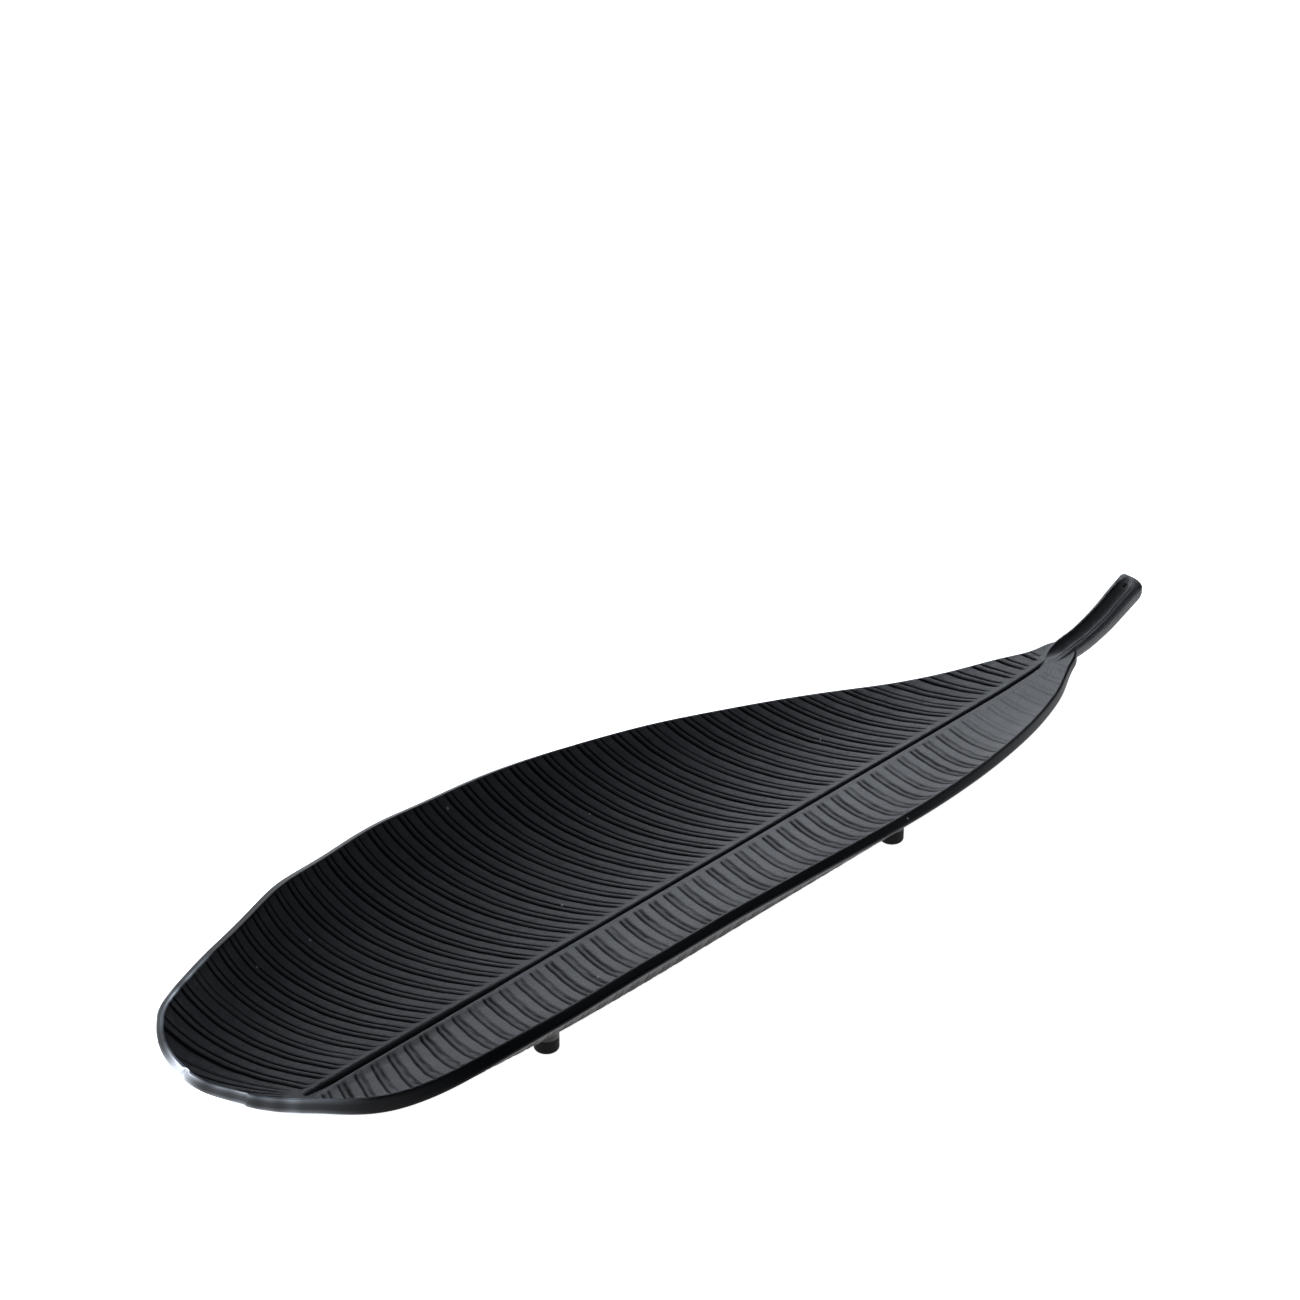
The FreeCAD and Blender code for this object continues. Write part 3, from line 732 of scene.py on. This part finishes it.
points = roundLoop(leftPoints, rightPoints)
groove = roundLoop(leftGroove, rightGroove)
rim = roundLoop(leftRim, rightRim)
below = roundLoop(leftBelow, rightBelow)
worn = roundLoop(leftWorn, rightWorn)
points[0] = 0.5 * (points[0] + np.concatenate([rightPoints[:1], leftPoints[:1, -2:0:-1]], 1)[0])
pole = points[-1].mean(0) + [0.6, 0, 0]
points = np.concatenate([points, np.broadcast_to(pole, points[-1:].shape)], 0)
groove = np.concatenate([groove, groove[-1:]], 0)
rim = np.concatenate([rim, rim[-1:]], 0)
below = np.concatenate([below, below[-1:]], 0)
worn = np.concatenate([worn, worn[-1:]], 0)
fromTip = points[..., 0] - 0.6 * np.maximum(0, 40 - points[..., 1])
bare = worn * (1 - smoothStep(*blade["rubbedAlong"], fromTip))
bare = np.clip(bare, 0, 1) * smoothStep(*blade["rubbedAcross"], points[..., 1])
bladeFaces = gridFaces(points.shape[0], points.shape[1], True)
bladePiece = makePiece(
    "leafBlade", points, bladeFaces, castLacquer,
    {
        "grooveShade": np.clip(groove, 0, 1), "rimShare": rim,
        "bareShare": bare, "belowShare": below,
    },
)
bladeTriangles = sum(len(face.vertices) - 2 for face in bladePiece.data.polygons)
print("blade:", bladeTriangles, "triangles")

# Stem: a ring at each place along it, then the hanging hole drilled through.
stem = {
    "rightDrop": 4.6,
    "leftRound": (2.3, 2.4),
    "lipLine": (0.30, 0.09, 0.4),
    "flankShare": 0.66,
    "endRound": 4.2,
    "endHeight": 9.5,
    "endGap": 0.06,
    "capScales": (0.62, 0.4, 0.2, 0.0),
    "rowStep": 1.25,
    "rootRows": ((-4.6, 0.02), (-4.2, 0.3), (-3.0, 0.62), (-1.4, 0.86)),
    "rootBelowLip": 3.5,
    "belowLip": 9.6,
    "hangSegments": 40,
    "sharpAngle": 48,
    "hangSpot": (364.244, 1.0, 18.369),
    "hangAxis": (-0.587785, 0.0, 0.809017),
    "hangRadius": 0.0017,
    "drillLength": 0.04,
}


# Stem section at x as one ring: right flank an elliptic quarter, half circle underneath, small
# rounding at the left lip, then the channel as an arc of its bore.
def stemRing(x):
    lip, half, deep = (eased(stemSections[:, 0], stemSections[:, k], x)[:, None] for k in (1, 2, 3))
    side = np.maximum(deep - half, 0.2)
    turn = lip - side
    sink = np.clip(lip - channelFloor(x)[:, None], 0.02, stemChannel["depth"])
    bore = stemChannel["radius"]
    wide = np.arcsin(np.sqrt(bore**2 - (bore - sink) ** 2) / bore)
    rightEdge = stemChannel["aside"] - bore * np.sin(wide)
    leftEdge = stemChannel["aside"] + bore * np.sin(wide)
    t = np.linspace(0, np.pi / 2, 15)
    drop = np.minimum(stem["rightDrop"], stem["flankShare"] * side)
    place, width, depth = stem["lipLine"]
    sunk = np.clip(sink / stemChannel["depth"], 0, 1)
    line = depth * bump(t, place, width) * sunk
    rightY = rightEdge - (rightEdge + half) * np.sin(t) + line * np.sin(t)
    rightZ = lip - drop + drop * np.cos(t) - line * np.cos(t)
    arc = np.linspace(np.pi, 2 * np.pi, 19)
    underY, underZ = half * np.cos(arc), turn + half * np.sin(arc)
    roundY, roundZ = stem["leftRound"]
    roundZ = np.minimum(roundZ, stem["flankShare"] * side)
    roundY = np.minimum(roundY, 0.8 * (half - leftEdge))
    back = t[::-2]
    leftY = half - roundY + roundY * np.sin(back)
    leftZ = lip - roundZ + roundZ * np.cos(back)
    sweep = np.linspace(1, -1, 17)[:-1]
    channelY = stemChannel["aside"] + bore * np.sin(wide * sweep)
    channelZ = lip - sink + bore - bore * np.cos(wide * sweep)
    y = np.concatenate([rightY, underY, leftY, channelY], 1)
    z = np.concatenate([rightZ, underZ, leftZ, channelZ], 1)
    # Painted shade for the channel floor, strongest along its middle.
    deepest = (1 - np.abs(sweep)) ** 0.5 * sunk**2
    inChannel = np.concatenate([0 * rightY, 0 * underY, 0 * leftY, deepest], 1)
    return y, z, lip, inChannel


rootX, endX = stemSections[0, 0], stemEndX - stem["endGap"]
bodyX = np.arange(rootX, endX - stem["endRound"], stem["rowStep"])
turnAngle = np.linspace(0, np.pi / 2, 7)
endRowsX = endX - stem["endRound"] * (1 - np.sin(turnAngle))
rootRows = np.array(stem["rootRows"])
allX = np.concatenate([
    rootX + rootRows[:, 0], bodyX, endRowsX, [endX] * len(stem["capScales"]),
])
endScale = 1 - stem["endRound"] * (1 - np.cos(turnAngle)) / stem["endHeight"]
rowScale = np.concatenate([
    rootRows[:, 1], np.ones(len(bodyX)), endScale, stem["capScales"],
])[:, None]
rowScale[-4:-1] *= rowScale[-5]
ringY, ringZ, ringLip, ringChannel = stemRing(np.clip(allX, rootX, endX))
belowLip = np.where(
    np.arange(len(allX)) < len(rootRows), stem["rootBelowLip"], stem["belowLip"],
)
middleZ = ringLip - belowLip[:, None]
swell = 1 + 0.012 * np.sin(allX / 4.3)[:, None] * np.sin(np.arange(ringY.shape[1]) / 5.0)
stemPoints = np.stack([
    np.broadcast_to(allX[:, None], ringY.shape),
    0.5 + (ringY * np.minimum(swell, 1) - 0.5) * rowScale,
    middleZ + (ringZ - middleZ) * rowScale,
], -1)
# Channel darkened as painted shade through grooveShade.
stemPiece = makePiece(
    "leafStem", stemPoints, gridFaces(*ringY.shape, True), castLacquer,
    {"grooveShade": 0.55 * ringChannel},
)

drillMesh = bpy.data.meshes.new("hangDrill")
drillBuild = bmesh.new()
drillTurn = Vector((0, 0, 1)).rotation_difference(Vector(stem["hangAxis"])).to_matrix().to_4x4()
drillPlace = Matrix.Translation(inFrame(np.array(stem["hangSpot"]))) @ drillTurn
bmesh.ops.create_cone(
    drillBuild, cap_ends=True, segments=stem["hangSegments"], radius1=stem["hangRadius"],
    radius2=stem["hangRadius"], depth=stem["drillLength"], matrix=drillPlace,
)
drillBuild.to_mesh(drillMesh)
drillBuild.free()
drill = bpy.data.objects.new("hangDrill", drillMesh)
bpy.context.scene.collection.objects.link(drill)
cut = stemPiece.modifiers.new("hangHole", "BOOLEAN")
cut.operation, cut.solver, cut.object = "DIFFERENCE", "EXACT", drill
bpy.context.view_layer.update()
cutStem = stemPiece.evaluated_get(bpy.context.evaluated_depsgraph_get())
drilled = bpy.data.meshes.new_from_object(cutStem)
stemPiece.modifiers.clear()
stemPiece.data = drilled
drilled.set_sharp_from_angle(angle=math.radians(stem["sharpAngle"]))
bpy.data.objects.remove(drill)
print("stem:", len(drilled.polygons), "faces")

# Bosses under the blade, one above each foot.
boss = {
    "radius": 6.8,
    "hole": 2.0,
    "top": 8.0,
    "holeTop": 14.8,
    "flare": (
        (6.8, 2.6), (6.95, 1.5), (7.3, 0.7), (8.0, 0.15), (8.9, -0.25), (7.5, -3.0), (4.0, -3.4),
        (0.0, -3.4),
    ),
}


# Boss over a foot as rings about its axis: hole, flat end, straight side, and a flare whose
# level at each angle is the outer wall there, less a small depth.
def bossPoints(foot):
    low, high = (np.array(v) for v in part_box(foot))
    centre = 500 * (low + high)[:2] + leafOrigin[:2]
    base = 1000 * high[2] - leaf["floorHeight"]
    holeTop = base + boss["holeTop"] - boss["top"]
    turn = np.linspace(0, 2 * np.pi, 65)[:-1]
    hole, side = boss["hole"], boss["radius"]
    flat = [
        (0.0, holeTop), (hole, holeTop), (hole, base + 0.3), (hole + 0.3, base),
        (side - 0.4, base), (side, base + 0.4),
    ]
    rows = []
    for reach, level in flat:
        x, y = centre[0] + reach * np.cos(turn), centre[1] + reach * np.sin(turn)
        rows.append(np.stack([x, y, np.full_like(x, level)], -1))
    for reach, below in boss["flare"]:
        x, y = centre[0] + reach * np.cos(turn), centre[1] + reach * np.sin(turn)
        radius = troughRadius(x)
        outer = floorLift(x) + radius - np.sqrt((radius + wallThick(x)) ** 2 - y**2)
        rows.append(np.stack([x, y, outer - below], -1))
    return np.stack(rows)


bossPieces = []
for foot in ("tip_left_foot", "tip_right_foot", "stem_left_foot", "stem_right_foot"):
    spots = bossPoints(foot)
    name = foot.replace("_foot", "_boss")
    bossPieces.append(makePiece(name, spots, gridFaces(*spots.shape[:2], True), castLacquer))
print("bosses:", len(bossPieces))
for piece in (bladePiece, stemPiece, *bossPieces):
    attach(piece, "root")
    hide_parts("leaf_tray")

# Floor, lights and camera; the places are in leaf millimetres or frame metres.
studio = {
    "target": (-45.592, 0.0, 156.414),
    "camera": (-1383.513, -1314.771, 1305.912),
    "lens": 116.625,
    "lampColor": (0.88, 0.93, 1.0),
    "airColor": (0.72, 0.84, 1, 1),
    "airStrength": 0.16,
    "floorHalf": 6,
    "floorColor": (0.9, 0.9, 0.9, 1),
    "floorGlow": 1.0,
    "lamps": {
        "backSoftbox": ((1.3, 2.15, 1.45), (2.6, 1.4), 92),
        "topSoftbox": ((0.0, 0.8, 2.4), (1.8, 1.6), 42),
    },
}


# Rectangular lamp whose face looks along aim - place.
def areaLight(name, place, size, power, aim=(0, 0, 0.03)):
    data = bpy.data.lights.new(name, "AREA")
    data.shape = "RECTANGLE"
    data.size, data.size_y = size
    data.energy = power
    data.color = studio["lampColor"]
    lamp = bpy.data.objects.new(name, data)
    bpy.context.scene.collection.objects.link(lamp)
    lamp.location = place
    lamp.rotation_mode = "QUATERNION"
    lamp.rotation_quaternion = (Vector(aim) - Vector(place)).to_track_quat("-Z", "Y")
    return lamp


floorMesh = bpy.data.meshes.new("paleFloor")
floorCorners = [(studio["floorHalf"] * i, studio["floorHalf"] * j, 0) for i, j in (
    (-1, -1), (1, -1), (1, 1), (-1, 1),
)]
floorMesh.from_pydata(floorCorners, [], [(0, 1, 2, 3)])
paleFloor = bpy.data.objects.new("paleFloor", floorMesh)
bpy.context.scene.collection.objects.link(paleFloor)
floorMaterial, _, floorShader, _ = startMaterial("paleFloorPaint")
floorShader.inputs["Base Color"].default_value = studio["floorColor"]
floorShader.inputs["Roughness"].default_value = 0.8
floorShader.inputs["Emission Color"].default_value = (1, 1, 1, 1)
floorShader.inputs["Emission Strength"].default_value = studio["floorGlow"]
floorMesh.materials.append(floorMaterial)

world = bpy.data.worlds.new("studioAir")
world.use_nodes = True
world.node_tree.nodes["Background"].inputs[0].default_value = studio["airColor"]
world.node_tree.nodes["Background"].inputs[1].default_value = studio["airStrength"]
bpy.context.scene.world = world
for lampName, (lampPlace, lampSize, lampPower) in studio["lamps"].items():
    areaLight(lampName, lampPlace, lampSize, lampPower)

cameraData = bpy.data.cameras.new("studioCamera")
cameraData.lens = studio["lens"]
camera = bpy.data.objects.new("studioCamera", cameraData)
bpy.context.scene.collection.objects.link(camera)
eye, aim = (inFrame(np.array(studio[key])) for key in ("camera", "target"))
camera.location = eye
camera.rotation_mode = "QUATERNION"
camera.rotation_quaternion = Vector(aim - eye).to_track_quat("-Z", "Y")
bpy.context.scene.camera = camera
bpy.context.scene.view_settings.view_transform = "Standard"

for name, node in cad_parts.items():
    if name.endswith("_foot"):
        material = footRubber
    elif name.endswith("_washer") or name.endswith("_screw"):
        material = zincSteel
    else:
        continue
    for part in node.material_slots:
        part.material = material
